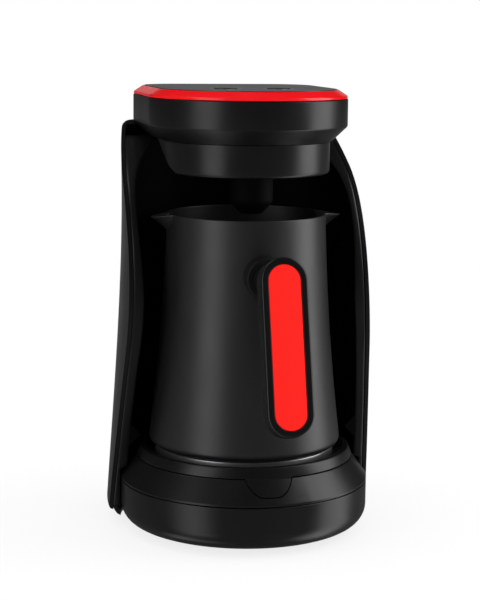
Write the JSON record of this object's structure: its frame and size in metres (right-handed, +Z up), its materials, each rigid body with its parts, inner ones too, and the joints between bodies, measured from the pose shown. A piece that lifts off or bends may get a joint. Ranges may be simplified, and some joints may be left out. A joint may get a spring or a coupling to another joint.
{
  "type": "electric turkish coffee maker",
  "caption": "Electric coffee maker: round heated base, rear shell with arms round the pot bay, overhanging head with push keys, and a spouted metal pot with a tilted drop handle.",
  "frame": {"origin": "centre of the footprint on the table", "axes": "+Z up, -Y to the front with the pot's handle"},
  "size_m": [0.1646, 0.207, 0.2677],
  "materials": {
    "black_gloss": "polished black moulded plastic",
    "black_satin": "fine grained black moulded plastic",
    "red_gloss": "polished red moulded plastic",
    "red_soft": "soft touch red plastic",
    "pot_coating": "dark satin coating on metal",
    "plate_metal": "turned metal",
    "pan_metal": "pressed aluminium",
    "element_metal": "oxidised heater sheath",
    "steel": "plated steel",
    "foot_rubber": "matt",
    "board_green": "solder mask",
    "relay_blue": "moulded case",
    "part_black": "moulded case",
    "dark_lens": "polished dark window",
    "light_lens": "clear light pipe"
  },
  "bodies": {
    "machine": {"accent_ring": "red_gloss", "base_bowl": "black_gloss", "base_cone": "black_gloss", "base_screws": "steel", "bay_liner": "black_satin", "boil_sensor": "black_satin", "buzzer": "part_black", "control_board": "board_green", "cord_gland": "foot_rubber", "head_chin": "black_gloss", "head_shell": "black_gloss", "heater_pan": "pan_metal", "heater_plate": "plate_metal", "heating_element": "element_metal", "indicator_lenses": "light_lens", "lid_plate": "black_gloss", "plunger_guide": "black_satin", "plunger_spring": "steel", "power_board": "board_green", "rear_panel": "black_gloss", "relay": "relay_blue", "rubber_feet": "foot_rubber", "seat_ring": "black_gloss", "sensor_lens": "dark_lens", "shell_floor": "black_satin", "side_cover_left": "black_gloss", "side_cover_right": "black_gloss", "tact_switches": "part_black"},
    "pot": {"pot_shell": "pot_coating", "handle_boss": "black_satin", "handle_stud": "steel", "handle_stem": "black_gloss", "grip_back_half": "black_gloss", "grip_front_half": "black_gloss", "grip_inlay": "red_soft", "handle_screws": "steel"},
    "plunger": {"sensing_plunger": "steel"},
    "key_left": {"key_left": "black_gloss"},
    "key_right": {"key_right": "black_gloss"}
  },
  "joints": [
    {"name": "pot_pull", "type": "slide", "parent": "machine", "child": "pot", "axis": [0, -1, 0], "range_m": [0, 0.2]},
    {"name": "plunger_press", "type": "slide", "parent": "machine", "child": "plunger", "axis": [0, 0, -1], "range_m": [0, 0.0015], "stiffness_N_per_m": 400, "springref_m": -0.001, "deforming": ["plunger_spring"]},
    {"name": "key_left_press", "type": "slide", "parent": "machine", "child": "key_left", "axis": [0, 0, -1], "range_m": [0, 0.0012], "stiffness_N_per_m": 1500, "springref_m": -0.0003},
    {"name": "key_right_press", "type": "slide", "parent": "machine", "child": "key_right", "axis": [0, 0, -1], "range_m": [0, 0.0012], "stiffness_N_per_m": 1500, "springref_m": -0.0003}
  ]
}
